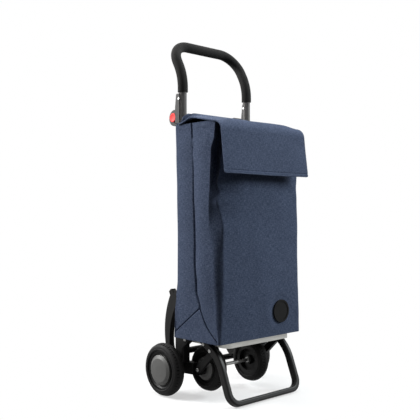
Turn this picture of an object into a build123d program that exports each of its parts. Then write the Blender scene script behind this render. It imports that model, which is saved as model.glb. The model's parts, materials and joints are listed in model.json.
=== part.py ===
from build123d import *
import math
import os

os.makedirs("parts", exist_ok=True)

# Shopping trolley: +Z up, the front faces -Y, +X is on the right seen from the front.
# The origin lies on the floor under the middle of the whole trolley. Millimetres.

# Clearances
slip = 0.15             # round a piece that is pushed over or into another
running = 0.06          # radial, between a pin or axle and what turns on it
parting = 0.4           # between faces that turn or slide past each other

# Uprights and handle tubes
frame_half = 134.0      # middle plane to the centre of an upright
upright_y = 58.0
tube_r = 11.5
tube_wall = 1.8
flute_count = 12
flute_r = 1.7
flute_depth = 0.7
upright_foot_z = 138.0
split_z = 793.0         # where the handle parts from the upright when it folds

# Handle loop
lean_z = 933.0          # the legs start to lean back here
lean_r = 147.0
top_y = 114.0
top_z = 1035.0
corner_r = 65.0
grip_r = 15.0
grip_end_z = 884.0

# Folding hinge
hinge_y = 89.5
hinge_z = 811.0
disc_r = 24.0
upper_out = 14.0        # half width of the upper knuckle round the handle tube
disc_out = 5.5          # outer face of the disc, outboard of the tube centre
cheek_t = 11.6
tongue_in = 4.0         # tongue's inner side, inboard of the tube centre
tongue_top_z = 880.0
tongue_back = 14.0      # tongue's back at its top, behind the tube centre
tongue_root = 19.0      # tongue's back where it meets the disc
tongue_root_z = 838.0
tongue_edge_r = 4.0
sleeve_r = 14.5
sleeve_bottom_z = 745.0
seat_w = 23.2           # web between the sleeve and the cheek
pin_r = 5.0
pin_head_r = 8.0
pin_head_t = 3.0
rivet_r = 1.6
rivet_head_r = 3.0
rivet_head_t = 1.2
rivet_y = 60.0
rivet_z = 864.0

# Release buttons
button_r = 13.3
button_gap = 0.3
button_travel = 3.5
button_proud = 3.0
button_wall = 2.2
button_edge_r = 1.8
recess_depth = 9.5
spring_r = 7.6
spring_wire = 1.4
spring_turns = 4

# Crossbars
bar_r = 9.0
bar_socket = 8.0
top_bar_z = 766.0
low_bar_z = 126.0

# Wheels
big_r = 76.2
big_x = frame_half + 47.5
rear_axle_y = 84.0
rear_axle_r = 6.0
small_r = 66.3
small_x = frame_half - 46.0
front_axle_y = -4.0
front_axle_z = 81.0
front_axle_r = 5.0
tyre_w = 36.0
tyre_h = 20.0           # tread down to the bead seat
tyre_shoulder = 12.0
tyre_crown = 2.0
tyre_bead = 1.2         # raised ring on each side wall
tyre_bead_w = 5.0
tread_pitch_count = 48
tread_w = 2.8
tread_depth = 4.8       # floor of the notches, below the top of the tread
rim_ring_t = 13.0
rim_dish = 4.0
rim_flange = 4.0
rim_web_t = 6.0
rim_inset = 3.0         # ring inside each side of the tyre
hub_r = 13.0
hub_flare = 2.0
big_hub_recess = 6.0    # hub's outer end, inside the side of the tyre
small_hub_recess = 4.0  # hub's inner end, inside the side of the tyre
wheel_gap = 2.0         # spacer's end to the side of the rear tyre
cap_t = 2.2
cap_rise = 6.0
cap_inset = 1.0         # cap's edge inside the side of the tyre
cap_skirt = 7.0
cap_shoulder = 9.5      # from the cap's edge in to the shoulder of its dome
cap_shoulder_rise = 4.8
cap_crown = 13.0        # radius of the flat crown
cap_hole_gap = 1.0
nut_t = 3.0
nut_r = 10.0
clip_t = 1.6
clip_r = 8.0
axle_thread = 12.0

# Rear wheel arms
arm_x = frame_half - 13.0
arm_w = 18.0
eye_r = 16.0
eye_relief = 4.0        # cut beside the brace, past the eye
boss_r = 17.0
spacer_r = 11.0
collar_bottom_z = 258.0
collar_top_z = 300.0
collar_r = 15.5
nose_w = 14.0
nose_y = 96.0
nose_t = 13.0
arm_front_bow = [(110.0, 111.0), (123.0, 143.0), (120.0, 192.0), (98.0, 250.0)]
arm_pad_z = (262.0, 279.0)
arm_tip = [(93.0, 282.0), (118.0, 303.0), (126.0, 295.0), (121.0, 284.0)]
arm_back_bow = [(144.0, 208.0), (142.0, 137.0), (123.0, 84.0)]

# Upright foot brackets
foot_half_w = 15.0
foot_back_y = 77.0
foot_top_z = 192.0
foot_edge_r = 6.0
tongue_front_y = 20.0
tongue_drop = 36.0      # back end of the foot's tongue, below the base plate's top

# Base plate, stand and braces
plate_half = frame_half - 2.5
plate_front_y = -125.0
plate_back_y = 38.5
plate_top_z = 172.7
plate_lip = 15.0
plate_t = 2.0
plate_corner_r = 20.0
stand_x = frame_half + 6.0
stand_w = 16.0
stand_d = 22.0
stand_wall = 1.6
stand_edge_r = 5.0
stand_top_y = -33.0
stand_top_z = 174.0
stand_knee_y = -102.0
stand_knee_z = 131.0
stand_foot_y = -148.5
stand_foot_z = 9.6
stand_knee_r = 118.0
stand_corner_r = 32.0
brace_t = 11.3
brace_w = 20.0

# Screws
screw_r = 2.5
screw_head_r = 5.0
screw_head_t = 2.6
screw_edge_r = 1.6
screw_a = (31.0, 164.5)
screw_b = (-46.0, 162.5)
screw_c = (-72.0, 147.0)

# Bag
bag_half = frame_half + 35.0
bag_top_half = bag_half - 3.0
bag_front_y = -133.0
bag_front_top_y = -118.0
bag_back_y = 40.0
bag_bottom_z = 173.2
bag_side_z = 783.0
bag_back_z = 819.5
bag_back_half = bag_half - 19.0
bag_wall = 3.0
bag_corner_r = 12.0
bag_top_corner_r = 28.0
board_t = 4.0
board_inset = 6.0
flap_half = bag_half + 5.0
flap_t = 3.0
flap_hinge_y = 38.5
flap_bend_y = -141.0
flap_bend_z = 786.0
flap_hem_y = -157.0
flap_hem_z = 637.0
flap_bend_r = 40.0
badge_x = 82.0
badge_z = 243.0
badge_r = 33.0
badge_t = 4.0
badge_rim = 5.0
badge_dish = 1.4
loop_x = 62.0
loop_w = 30.0
loop_t = 1.8

# Sizes that follow
wrap_r = tube_r + slip
cheek_out = frame_half - upper_out - parting
cheek_in = cheek_out - cheek_t
disc_in = frame_half - upper_out
disc_face = frame_half + disc_out
recess_floor = disc_face - recess_depth
arm_in = arm_x - arm_w / 2
arm_out = arm_x + arm_w / 2
stand_in = stand_x - stand_w / 2
stand_out = stand_x + stand_w / 2
brace_out = stand_in - slip * 2
brace_in = brace_out - brace_t
foot_in = frame_half - foot_half_w
foot_out = frame_half + foot_half_w
arm_top_z = front_axle_z + eye_r
foot_front_y = bag_back_y + parting * 2
collar_pad_y = upright_y + collar_r + parting
bag_lean = math.degrees(math.atan2(bag_front_top_y - bag_front_y, bag_side_z - bag_bottom_z))


def slab(outline, x_from, x_to):
    """A face drawn in Y and Z, made solid between two X positions."""
    return extrude(Plane.YZ.offset(x_from) * outline, x_to - x_from)


def rod(radius, x_from, x_to, y, z):
    """A round bar along X."""
    return Pos(0, y, z) * extrude(Plane.YZ.offset(x_from) * Circle(radius), x_to - x_from)


def post(radius, z_from, z_to, x, y):
    """A round bar along Z."""
    return Pos(x, y, z_from) * Cylinder(radius, z_to - z_from, align=(Align.CENTER, Align.CENTER, Align.MIN))


def block(x_from, x_to, y_from, y_to, z_from, z_to):
    """A box given by its limits."""
    box = Box(x_to - x_from, y_to - y_from, z_to - z_from, align=(Align.MIN, Align.MIN, Align.MIN))
    return Pos(x_from, y_from, z_from) * box


def polygon(*points):
    """A face with straight sides through the points."""
    return make_face(Polyline(*points, close=True))


def disc_at(radius, y, z):
    """A round face drawn in Y and Z."""
    return Pos(y, z) * Circle(radius)


def left_of(right_piece):
    """The left-hand twin of a right-hand piece."""
    return mirror(right_piece, about=Plane.YZ)


def save(name, piece):
    """Write one piece to its own file."""
    piece.label = name
    export_step(piece, f"parts/{name}.step")


def save_pair(name, right_piece):
    """Write a right-hand piece and its left-hand twin."""
    save(f"right_{name}", right_piece)
    save(f"left_{name}", left_of(right_piece))


def flutes(x, z_from, z_to):
    """Cutters for the grooves that run up a tube."""
    ring = PolarLocations(tube_r + flute_r - flute_depth, flute_count)
    return [Pos(x, upright_y, 0) * spot * post(flute_r, z_from, z_to, 0, 0) for spot in ring]


# Uprights
upright = post(tube_r, upright_foot_z, split_z - slip, frame_half, upright_y)
upright -= post(tube_r - tube_wall, upright_foot_z, split_z, frame_half, upright_y)
upright -= flutes(frame_half, upright_foot_z, split_z)
save_pair("upright", upright)


# Handle loop, its foam grip and the rivets through the tongues
def handle_line(start_z):
    """Centre line of the loop, from one leg over the top to the other."""
    leg = [(-1, upright_y, start_z), (-1, upright_y, lean_z), (-1, top_y, top_z)]
    left = [(side * frame_half, y, z) for side, y, z in leg]
    right = [(-side * frame_half, y, z) for side, y, z in reversed(leg)]
    # The two bends share the leaning run, so neither takes more of it than the other leaves
    run = math.hypot(top_y - upright_y, top_z - lean_z)
    lean_share = math.tan(math.atan2(top_y - upright_y, top_z - lean_z) / 2)
    corner = min(corner_r, max(run / 2, run - lean_r * lean_share) - parting)
    lean = min(lean_r, (run - corner - parting) / lean_share)
    return FilletPolyline(*left, *right, radius=[lean, corner, corner, lean])


def pipe(line, outer, inner):
    """A round tube along a line."""
    section = Plane(origin=line @ 0, z_dir=line % 0) * (Circle(outer) - Circle(inner))
    return sweep(section, path=line)


def rivet(x_in, x_out):
    """A rivet with a head at each end."""
    heads = rod(rivet_head_r, x_in - rivet_head_t, x_in, rivet_y, rivet_z)
    heads += rod(rivet_head_r, x_out, x_out + rivet_head_t, rivet_y, rivet_z)
    return heads + rod(rivet_r, x_in, x_out, rivet_y, rivet_z)


rivet_hole = rod(rivet_r + slip, 0, frame_half * 2, rivet_y, rivet_z)
handle_tube = pipe(handle_line(split_z + parting), tube_r, tube_r - tube_wall)
handle_tube -= flutes(frame_half, split_z, grip_end_z + tube_r)
handle_tube -= flutes(-frame_half, split_z, grip_end_z + tube_r)
handle_tube -= [rivet_hole, left_of(rivet_hole)]
save("handle_tube", handle_tube)
save("foam_grip", pipe(handle_line(grip_end_z), grip_r, wrap_r))
right_rivet = rivet(frame_half - tube_r, frame_half + upper_out)
save("handle_rivets", Compound([right_rivet, left_of(right_rivet)]))

# Upper hinge knuckle: a disc and a tongue that wraps the back and the outside of the handle tube
tongue = polygon(
    (upright_y, split_z + parting),
    (upright_y, tongue_top_z),
    (upright_y + tongue_back, tongue_top_z),
    (upright_y + tongue_root, tongue_root_z),
    (upright_y + tongue_root, split_z + parting),
)
upper_knuckle = slab(tongue, frame_half - tongue_in, frame_half + upper_out)
upper_knuckle = fillet(upper_knuckle.edges().filter_by(Axis.Y).group_by(Axis.Z)[-1], tongue_edge_r)
upper_knuckle += slab(disc_at(disc_r, hinge_y, hinge_z), disc_in, disc_face)
upper_knuckle -= post(wrap_r, split_z, tongue_top_z + parting, frame_half, upright_y)
upper_knuckle -= rod(button_r + button_gap, recess_floor, frame_half + upper_out, hinge_y, hinge_z)
upper_knuckle -= rod(pin_r + running, disc_in, disc_face, hinge_y, hinge_z)
upper_knuckle -= rivet_hole
save_pair("upper_knuckle", upper_knuckle)

# Lower hinge knuckle: a sleeve on the upright with a cheek beside the disc
seat = Pos(upright_y, (sleeve_bottom_z + split_z) / 2) * Rectangle(
    seat_w, split_z - sleeve_bottom_z - parting * 2
)
cheek = make_hull(disc_at(disc_r, hinge_y, hinge_z).edges() + seat.edges())
lower_knuckle = slab(cheek, cheek_in, cheek_out)
lower_knuckle += slab(seat, cheek_in, frame_half)
lower_knuckle += post(sleeve_r, sleeve_bottom_z, split_z - slip, frame_half, upright_y)
lower_knuckle -= post(wrap_r, sleeve_bottom_z, split_z, frame_half, upright_y)
lower_knuckle -= rod(pin_r + slip, cheek_in, cheek_out, hinge_y, hinge_z)
lower_knuckle -= rod(bar_r + slip, cheek_in, cheek_in + bar_socket, upright_y, top_bar_z)
save_pair("lower_knuckle", lower_knuckle)

# Hinge pin, release button and its spring
pin = rod(pin_head_r, cheek_in - pin_head_t, cheek_in, hinge_y, hinge_z)
pin += rod(pin_r, cheek_in, recess_floor - slip, hinge_y, hinge_z)
save_pair("hinge_pin", pin)

button_foot = recess_floor + button_travel + parting
button_face = disc_face + button_proud
button_under = button_face - button_wall
button = rod(button_r, button_foot, button_face, hinge_y, hinge_z)
button = fillet(button.edges().group_by(Axis.X)[-1], button_edge_r)
button -= rod(button_r - button_wall, button_foot, button_under, hinge_y, hinge_z)
save_pair("release_button", button)

spring_len = button_under - recess_floor - spring_wire - slip * 2
coil = Helix(pitch=spring_len / spring_turns, height=spring_len, radius=spring_r)
wire = Plane(origin=coil @ 0, z_dir=coil % 0) * Circle(spring_wire / 2)
spring = Rot(0, 90, 0) * sweep(wire, path=coil, is_frenet=True)
spring_start = recess_floor + spring_wire / 2 + slip
save_pair("button_spring", Pos(spring_start, hinge_y, hinge_z) * spring)

# Crossbars between the uprights
top_reach = cheek_in + bar_socket - slip
save("top_crossbar", rod(bar_r, -top_reach, top_reach, upright_y, top_bar_z))
low_reach = foot_in + bar_socket - slip
save("low_crossbar", rod(bar_r, -low_reach, low_reach, upright_y, low_bar_z))


# Wheels: tyre, rim and hub cap, drawn about the X axis with the outer face towards +X
def ring(*points):
    """A turned piece from its half section, given as axial place and radius."""
    return revolve(polygon(*points), axis=Axis.X)


def tyre(radius):
    """A tyre with a crowned tread and notched shoulders."""
    half = tyre_w / 2
    bead = radius - tyre_h
    rise = radius - tyre_crown
    knee = tyre_shoulder * (1 - math.sqrt(0.5))
    side = radius - tyre_shoulder - tyre_crown
    outline = [
        Line((half, bead), (-half, bead)),
        Line((-half, bead), (-half, side)),
        ThreePointArc((-half, side), (knee - half, rise - knee), (tyre_shoulder - half, rise)),
        ThreePointArc((tyre_shoulder - half, rise), (0, radius), (half - tyre_shoulder, rise)),
        ThreePointArc((half - tyre_shoulder, rise), (half - knee, rise - knee), (half, side)),
        Line((half, side), (half, bead)),
    ]
    solid = revolve(make_face(outline), axis=Axis.X)
    bead_ring = ring(
        (half, bead + tyre_bead),
        (half + tyre_bead, bead + tyre_bead * 2),
        (half + tyre_bead, bead + tyre_bead_w - tyre_bead),
        (half, bead + tyre_bead_w),
    )
    solid += [bead_ring, mirror(bead_ring, about=Plane.YZ)]
    notch = block(half - tyre_shoulder, half, -tread_w / 2, tread_w / 2, radius - tread_depth, radius)
    notches = notch + mirror(notch, about=Plane.YZ)
    step = 360 / tread_pitch_count
    return solid - [Rot(index * step, 0, 0) * notches for index in range(tread_pitch_count)]


def rim(radius, axle_r, hub_in, hub_out):
    """A rim with a ring under the tyre, a web and a hub on the axle."""
    seat_r = radius - tyre_h - slip
    ring_half = tyre_w / 2 - rim_inset
    bore = axle_r + running
    inner = seat_r - rim_ring_t
    web = rim_web_t / 2
    return ring(
        (hub_in, bore),
        (hub_in, hub_r),
        (-web, hub_r + hub_flare),
        (-web, inner),
        (-ring_half, inner),
        (-ring_half, seat_r),
        (ring_half, seat_r),
        (ring_half, seat_r - rim_flange),
        (ring_half - rim_dish, inner + rim_flange),
        (ring_half - rim_dish, inner),
        (web, inner),
        (web, hub_r + hub_flare),
        (hub_out, hub_r),
        (hub_out, bore),
    )


def hub_cap(radius, hole_r):
    """A shallow dome over the outer side, with a skirt inside the rim ring."""
    face = tyre_w / 2 - cap_inset
    skirt = face - cap_skirt
    shoulder = radius - cap_shoulder
    crown = max(cap_crown, hole_r + cap_t)
    return ring(
        (skirt, radius - cap_t),
        (skirt, radius),
        (face, radius),
        (face + cap_shoulder_rise, shoulder),
        (face + cap_rise, crown),
        (face + cap_rise, hole_r),
        (face + cap_rise - cap_t, hole_r),
        (face + cap_rise - cap_t, crown),
        (face + cap_shoulder_rise - cap_t, shoulder),
        (face - cap_t, radius - cap_t),
    )


def save_wheel(name, radius, axle_r, place, cap_r, cap_hole, hub_in, hub_out):
    """Write the pieces of a right-hand wheel and of its left-hand twin."""
    save_pair(f"{name}_tyre", place * tyre(radius))
    save_pair(f"{name}_rim", place * rim(radius, axle_r, hub_in, hub_out))
    save_pair(f"{name}_hub_cap", place * hub_cap(cap_r, cap_hole))


rear_axle_z = big_r
big_place = Pos(big_x, rear_axle_y, rear_axle_z)
small_place = Pos(small_x, front_axle_y, front_axle_z)
spacer_end = big_x - tyre_w / 2 - wheel_gap
big_hub_in = spacer_end + parting - big_x
big_hub_out = tyre_w / 2 - big_hub_recess
small_hub_in = small_hub_recess - tyre_w / 2
small_hub_out = arm_in - parting - small_x
big_cap_r = big_r - tyre_h - slip - rim_ring_t - slip
small_cap_r = small_r - tyre_h - slip - rim_ring_t - slip
big_hub = (big_hub_in, big_hub_out)
small_hub = (small_hub_in, small_hub_out)
small_cap_hole = hub_r + cap_hole_gap
save_wheel("rear_wheel", big_r, rear_axle_r, big_place, big_cap_r, 0.0, *big_hub)
save_wheel("front_wheel", small_r, front_axle_r, small_place, small_cap_r, small_cap_hole, *small_hub)

# Axles with the push nuts that keep the wheels on
rear_reach = big_x + big_hub_out + nut_t + parting
save("rear_axle", rod(rear_axle_r, -rear_reach, rear_reach, rear_axle_y, rear_axle_z))
save(
    "rear_axle_tube",
    rod(bar_r, -arm_in, arm_in, rear_axle_y, rear_axle_z)
    - rod(rear_axle_r + slip, -arm_in, arm_in, rear_axle_y, rear_axle_z),
)
front_reach = brace_out - slip
front_axle = rod(front_axle_r, -front_reach, front_reach, front_axle_y, front_axle_z)
thread_hole = rod(screw_r + slip, front_reach - axle_thread, front_reach, front_axle_y, front_axle_z)
save("front_axle", front_axle - [thread_hole, left_of(thread_hole)])


def push_nut(radius, thickness, axle_r, x_from, y, z):
    """A ring pressed on an axle."""
    x_to = x_from + thickness
    return rod(radius, x_from, x_to, y, z) - rod(axle_r + slip, x_from, x_to, y, z)


rear_nut = push_nut(nut_r, nut_t, rear_axle_r, big_x + big_hub_out + parting, rear_axle_y, rear_axle_z)
clip_x = small_x + small_hub_in - parting - clip_t
front_clip = push_nut(clip_r, clip_t, front_axle_r, clip_x, front_axle_y, front_axle_z)
save("rear_axle_nuts", Compound([rear_nut, left_of(rear_nut)]))
save("front_wheel_clips", Compound([front_clip, left_of(front_clip)]))

# Rear wheel arm: from the front axle back to the rear axle, then up in a bow to the upright
arm_heel = (foot_back_y, arm_top_z)
arm_sole = (rear_axle_y, rear_axle_z - boss_r)
eye_top = (front_axle_y, arm_top_z)
eye_low = (front_axle_y, front_axle_z - eye_r)
pad_low = (collar_pad_y, arm_pad_z[0])
pad_high = (collar_pad_y, arm_pad_z[1])
arm_line = [
    Line(eye_top, arm_heel),
    ThreePointArc(arm_heel, *arm_front_bow[:2]),
    ThreePointArc(*arm_front_bow[1:]),
    Polyline(arm_front_bow[-1], pad_low, pad_high, *arm_tip),
    ThreePointArc(arm_tip[-1], *arm_back_bow[:2]),
    ThreePointArc(*arm_back_bow[1:], arm_sole),
    Line(arm_sole, eye_low),
    ThreePointArc(eye_low, (front_axle_y - eye_r, front_axle_z), eye_top),
]
arm = slab(make_face(arm_line), arm_in, arm_out)
relief_y = (front_axle_y - eye_r, front_axle_y + eye_r + eye_relief)
arm -= block(brace_in - parting, arm_out, *relief_y, front_axle_z - eye_r, arm_top_z)
arm += rod(spacer_r, arm_out, spacer_end, rear_axle_y, rear_axle_z)
arm -= rod(rear_axle_r + slip, arm_in, spacer_end, rear_axle_y, rear_axle_z)
arm -= rod(front_axle_r + slip, arm_in, arm_out, front_axle_y, front_axle_z)
save_pair("wheel_arm", arm)

# Collar on the upright that the top of the arm bears on
collar = post(collar_r, collar_bottom_z, collar_top_z, frame_half, upright_y)
collar += block(
    frame_half - collar_r, frame_half, upright_y, collar_pad_y - slip, collar_bottom_z, collar_top_z - nose_t
)
collar += block(
    frame_half - nose_w, frame_half, upright_y, nose_y, collar_top_z - nose_t, collar_top_z
)
collar -= post(wrap_r, collar_bottom_z, collar_top_z, frame_half, upright_y)
save_pair("arm_collar", collar)


# Foot of the upright, standing on the arm, with a tongue beside the base plate
def screw_hole(place, x_from, x_to):
    """A clearance hole along X for a screw."""
    return rod(screw_r + slip, x_from, x_to, *place)


foot = block(foot_in, foot_out, foot_front_y, foot_back_y, arm_top_z, foot_top_z)
foot = fillet(foot.edges().filter_by(Axis.Z), foot_edge_r)
foot_tongue = polygon(
    (tongue_front_y, plate_top_z - parting),
    (tongue_front_y, plate_top_z - plate_lip),
    (foot_front_y + foot_edge_r, plate_top_z - tongue_drop),
    (foot_front_y + foot_edge_r, plate_top_z - parting),
)
foot += slab(foot_tongue, plate_half + slip, foot_out)
foot -= post(wrap_r, upright_foot_z - slip, foot_top_z, frame_half, upright_y)
foot -= rod(bar_r + slip, foot_in, foot_in + bar_socket, upright_y, low_bar_z)
foot -= screw_hole(screw_a, plate_half, foot_out)
save_pair("upright_foot", foot)

# Base plate: a shallow tray turned over, with a lip all round
plate_mid_y = (plate_front_y + plate_back_y) / 2
plate_size = (plate_half * 2, plate_back_y - plate_front_y)
plate = Pos(0, plate_mid_y, plate_top_z - plate_lip) * extrude(
    RectangleRounded(*plate_size, plate_corner_r), plate_lip
)
plate -= Pos(0, plate_mid_y, plate_top_z - plate_lip) * extrude(
    RectangleRounded(*(size - plate_t * 2 for size in plate_size), plate_corner_r - plate_t),
    plate_lip - plate_t,
)
for spot in (screw_a, screw_b):
    plate -= screw_hole(spot, -plate_half, plate_half)
save("base_plate", plate)

# Stand: one bent tube, flat where it rests on the floor
stand_leg = [
    (-1, stand_top_y, stand_top_z),
    (-1, stand_knee_y, stand_knee_z),
    (-1, stand_foot_y, stand_foot_z),
]
stand_line = FilletPolyline(
    *[(side * stand_x, y, z) for side, y, z in stand_leg],
    *[(-side * stand_x, y, z) for side, y, z in reversed(stand_leg)],
    radius=[stand_knee_r, stand_corner_r, stand_corner_r, stand_knee_r],
)
stand_face = RectangleRounded(stand_w, stand_d, stand_edge_r) - RectangleRounded(
    stand_w - stand_wall * 2, stand_d - stand_wall * 2, stand_edge_r - stand_wall
)
stand_start = Plane(origin=stand_line @ 0, x_dir=(1, 0, 0), z_dir=stand_line % 0)
stand = sweep(stand_start * stand_face, path=stand_line)
stand -= block(-stand_out * 2, stand_out * 2, stand_foot_y * 2, 0, plate_top_z - parting, plate_top_z * 2)
stand -= block(-stand_out * 2, stand_out * 2, stand_foot_y * 2, 0, -stand_d, 0)
for spot in (screw_b, screw_c):
    stand -= screw_hole(spot, -stand_out, stand_out)
save("stand", stand)

# Braces from the front axle up to the stand
brace_mid = ((front_axle_y + screw_c[0]) / 2, (front_axle_z + screw_c[1]) / 2)
brace_rise = math.degrees(math.atan2(screw_c[1] - front_axle_z, screw_c[0] - front_axle_y))
brace_len = math.hypot(screw_c[1] - front_axle_z, screw_c[0] - front_axle_y)
brace_face = Pos(*brace_mid) * Rot(0, 0, brace_rise) * SlotCenterToCenter(brace_len, brace_w)
brace = slab(brace_face, brace_in, brace_out)
brace -= rod(front_axle_r + slip, brace_in, brace_out, front_axle_y, front_axle_z)
brace -= screw_hole(screw_c, brace_in, brace_out)
save_pair("stand_brace", brace)


# Screws through the feet, the stand and the braces, and into the ends of the front axle
def screw(place, x_tip, x_seat):
    """A screw with a low round head."""
    head = rod(screw_head_r, x_seat, x_seat + screw_head_t, *place)
    head = fillet(head.edges().group_by(Axis.X)[-1], screw_edge_r)
    return head + rod(screw_r, x_tip, x_seat, *place)


flange_in = plate_half - plate_t
right_screws = [
    screw(screw_a, flange_in, foot_out),
    screw(screw_b, flange_in, stand_out),
    screw(screw_c, brace_in, stand_out),
    screw((front_axle_y, front_axle_z), front_reach - axle_thread + slip, brace_out),
]
save("chassis_screws", Compound(right_screws + [left_of(piece) for piece in right_screws]))


# Bag: an open tapered shell, its back carried up to the flap
def bag_form(inset, z_from, z_to):
    """The bag's outside, or its inside when inset by the wall."""
    sections = []
    for z, half, front, corner in (
        (z_from, bag_half, bag_front_y, bag_corner_r),
        (z_to, bag_top_half, bag_front_top_y, bag_top_corner_r),
    ):
        depth = bag_back_y - front - inset * 2
        outline = RectangleRounded(half * 2 - inset * 2, depth, corner - inset)
        sections.append(Pos(0, (bag_back_y + front) / 2, z) * outline)
    return loft(sections)


bag = bag_form(0, bag_bottom_z, bag_side_z)
bag -= bag_form(bag_wall, bag_bottom_z + bag_wall, bag_side_z)
bag += block(
    -bag_back_half, bag_back_half, bag_back_y - bag_wall, bag_back_y, bag_side_z - bag_corner_r, bag_back_z
)
save("bag_body", bag)

board = RectangleRounded(
    (bag_half - bag_wall - board_inset) * 2,
    bag_back_y - bag_front_y - (bag_wall + board_inset) * 2,
    bag_corner_r,
)
board_z = bag_bottom_z + bag_wall + slip
save("bag_board", Pos(0, (bag_back_y + bag_front_y) / 2, board_z) * extrude(board, board_t))

# Flap over the mouth, hinged along the top of the bag's back
flap_hinge_z = bag_back_z + parting + flap_t / 2
flap_line = FilletPolyline(
    (flap_hinge_y, flap_hinge_z), (flap_bend_y, flap_bend_z), (flap_hem_y, flap_hem_z), radius=[flap_bend_r]
)
save("bag_flap", slab(trace(flap_line, flap_t), -flap_half, flap_half))

# Round plate on the bag's front
badge = Cylinder(badge_r, badge_t) - Pos(0, 0, badge_t / 2) * Cylinder(badge_r - badge_rim, badge_dish * 2)
badge_y = bag_front_y + (badge_z - bag_bottom_z) * math.tan(math.radians(bag_lean))
badge_seat = badge_y - (badge_t / 2 + slip) / math.cos(math.radians(bag_lean))
save("badge_disc", Pos(badge_x, badge_seat, badge_z) * Rot(90 - bag_lean, 0, 0) * badge)

# Webbing loops that hang the bag on the top crossbar
strap = rod(bar_r + slip + loop_t, -loop_w / 2, loop_w / 2, upright_y, top_bar_z)
strap_z = (top_bar_z - bar_r / 2, top_bar_z + bar_r / 2)
strap += block(-loop_w / 2, loop_w / 2, bag_back_y + slip, upright_y - bar_r, *strap_z)
strap -= rod(bar_r + slip, -loop_w / 2, loop_w / 2, upright_y, top_bar_z)
save("bag_loops", Compound([Pos(loop_x, 0, 0) * strap, Pos(-loop_x, 0, 0) * strap]))
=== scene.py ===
import bpy
import json
import math
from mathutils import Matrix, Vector, noise


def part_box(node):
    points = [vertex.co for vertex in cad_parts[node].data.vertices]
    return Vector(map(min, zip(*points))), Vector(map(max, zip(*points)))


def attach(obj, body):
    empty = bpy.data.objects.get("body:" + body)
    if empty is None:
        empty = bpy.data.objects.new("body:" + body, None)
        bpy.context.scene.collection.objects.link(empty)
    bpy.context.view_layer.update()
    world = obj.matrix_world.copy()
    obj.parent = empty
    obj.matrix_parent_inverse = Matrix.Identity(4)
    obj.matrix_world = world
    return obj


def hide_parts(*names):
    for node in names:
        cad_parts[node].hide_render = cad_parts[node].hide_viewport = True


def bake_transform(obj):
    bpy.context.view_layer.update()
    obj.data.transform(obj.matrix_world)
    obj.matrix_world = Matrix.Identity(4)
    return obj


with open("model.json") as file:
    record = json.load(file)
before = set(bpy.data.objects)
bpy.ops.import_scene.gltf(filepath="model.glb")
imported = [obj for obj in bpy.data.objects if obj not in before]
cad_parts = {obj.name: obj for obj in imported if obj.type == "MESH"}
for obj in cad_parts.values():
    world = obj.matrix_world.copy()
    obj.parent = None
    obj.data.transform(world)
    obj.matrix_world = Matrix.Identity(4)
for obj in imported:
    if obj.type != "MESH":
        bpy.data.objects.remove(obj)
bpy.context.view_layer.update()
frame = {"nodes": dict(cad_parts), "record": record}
hinges = {joint["name"]: joint.get("pos_m") for joint in frame["record"]["behaviour"]["joints"]}
weldGap = 0.00005
print("frame loaded:", len(frame["nodes"]), "nodes")


def deselectAll():
    if bpy.context.object and bpy.context.object.mode != "OBJECT":
        bpy.ops.object.mode_set(mode="OBJECT")
    bpy.ops.object.select_all(action="DESELECT")


def pick(piece):
    deselectAll()
    piece.select_set(True)
    bpy.context.view_layer.objects.active = piece


def blendValue(a, b, t):
    return a + (b - a) * t


def smooth(low, high, value):
    t = min(1.0, max(0.0, (value - low) / (high - low)))
    return t * t * (3 - 2 * t)


# a bump of height 1 round one place
def hump(value, middle, spread):
    return math.exp(-((value - middle) / spread) ** 2)


# value along a list of (place, value) pairs
def along(table, place):
    if place <= table[0][0]:
        return table[0][1]
    for (placeA, valueA), (placeB, valueB) in zip(table, table[1:]):
        if place <= placeB:
            return blendValue(valueA, valueB, smooth(placeA, placeB, place))
    return table[-1][1]


# a flat grid whose points are laid on a surface, with a map of the flat cloth in metres
def layGrid(name, columns, rows, place, cloth):
    deselectAll()
    bpy.ops.mesh.primitive_grid_add(x_subdivisions=columns, y_subdivisions=rows, size=1.0, location=(0, 0, 0))
    piece = bpy.context.object
    piece.name = name
    mesh = piece.data
    uvLayer = mesh.uv_layers.active
    spots = [(point.co.x + 0.5, point.co.y + 0.5) for point in mesh.vertices]
    for loop in mesh.loops:
        uvLayer.data[loop.index].uv = cloth(*spots[loop.vertex_index])
    for point, (u, v) in zip(mesh.vertices, spots):
        point.co = place(u, v)
    return piece


# leaves a piece in edit mode with only the edges or faces that pass the test selected
def selectWhere(piece, kind, test):
    pick(piece)
    bpy.ops.object.mode_set(mode="EDIT")
    bpy.ops.mesh.select_mode(type=kind)
    bpy.ops.mesh.select_all(action="DESELECT")
    bpy.ops.object.mode_set(mode="OBJECT")
    for element in piece.data.edges if kind == "EDGE" else piece.data.polygons:
        element.select = test(element)
    bpy.ops.object.mode_set(mode="EDIT")


def editWhole(piece):
    pick(piece)
    bpy.ops.object.mode_set(mode="EDIT")
    bpy.ops.mesh.select_all(action="SELECT")


def weld(piece):
    editWhole(piece)
    bpy.ops.mesh.remove_doubles(threshold=weldGap)
    bpy.ops.object.mode_set(mode="OBJECT")


def turnOut(piece):
    editWhole(piece)
    bpy.ops.mesh.normals_make_consistent(inside=False)
    bpy.ops.object.mode_set(mode="OBJECT")


def thicken(piece, thickness, offset):
    pick(piece)
    wall = piece.modifiers.new("wall", "SOLIDIFY")
    wall.thickness = thickness
    wall.offset = offset
    bpy.ops.object.modifier_apply(modifier=wall.name)


def smoothFaces(piece, degrees):
    pick(piece)
    bpy.ops.object.shade_smooth_by_angle(angle=math.radians(degrees))


def dress(piece, material):
    piece.data.materials.clear()
    piece.data.materials.append(material)


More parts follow.
